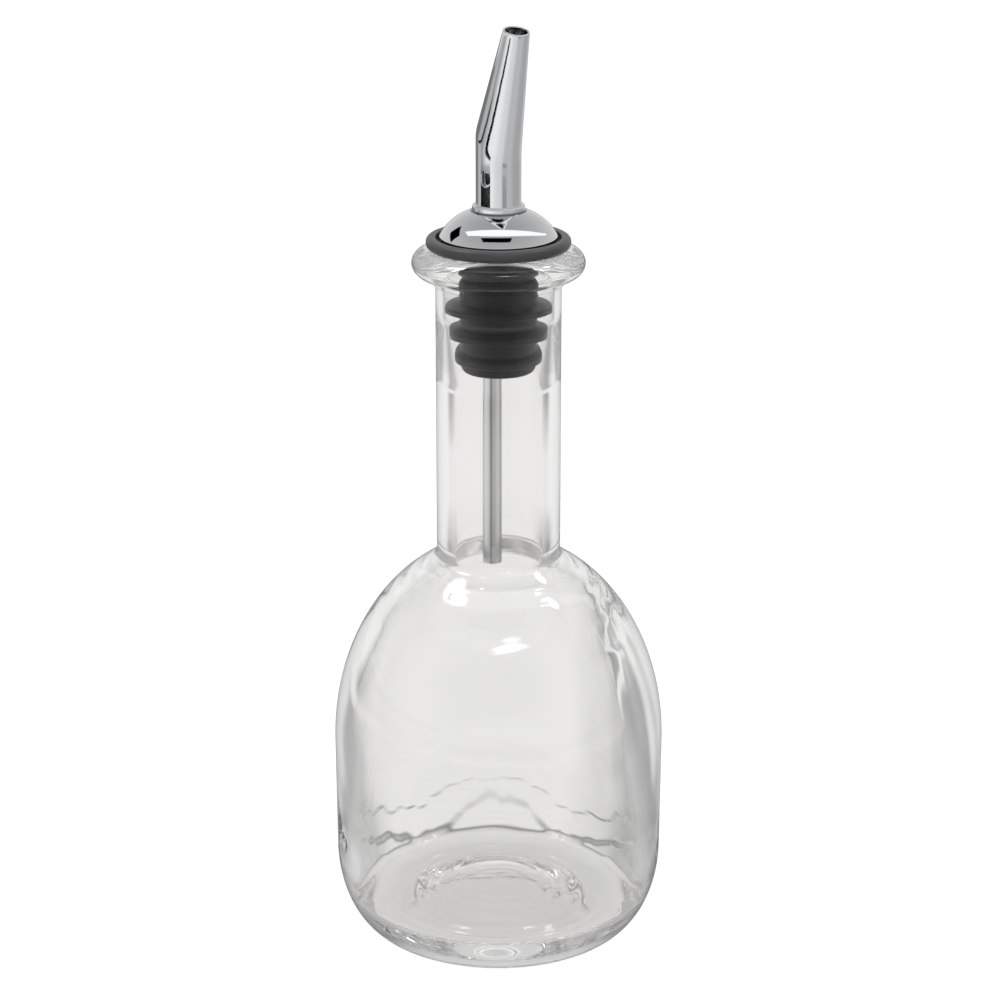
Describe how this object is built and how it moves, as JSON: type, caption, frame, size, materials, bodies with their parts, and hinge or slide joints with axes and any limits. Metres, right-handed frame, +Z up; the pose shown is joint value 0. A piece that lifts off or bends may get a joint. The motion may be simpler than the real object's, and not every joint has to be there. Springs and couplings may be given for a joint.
{
  "type": "oil and vinegar bottle",
  "caption": "Thick blown glass bottle with a long neck, closed by a ribbed cork that holds a leaning metal pouring spout with a breather tube.",
  "frame": {"origin": "centre of the foot, on the surface that the bottle stands on", "axes": "+Z up along the bottle's axis; the spout leans towards -Y and a little towards +X"},
  "size_m": [0.0754, 0.0754, 0.2109],
  "materials": {
    "bottle_glass": "clear, polished",
    "cork_rubber": "satin",
    "collar_chrome": "polished",
    "spout_chrome": "polished",
    "tube_steel": "drawn"
  },
  "bodies": {
    "bottle": {"glass_bottle": "bottle_glass"},
    "cork": {"stopper": "cork_rubber"},
    "pourer": {"collar": "collar_chrome", "spout": "spout_chrome", "breather_tube": "tube_steel"}
  },
  "joints": [
    {"name": "cork_pull", "type": "slide", "parent": "bottle", "child": "cork", "axis": [0, 0, 1], "range_m": [0, 0.08]},
    {"name": "spout_swivel", "type": "hinge", "parent": "cork", "child": "pourer", "pos_m": [0, 0, 0.1642], "axis": [0, 0, 1], "continuous": true}
  ]
}
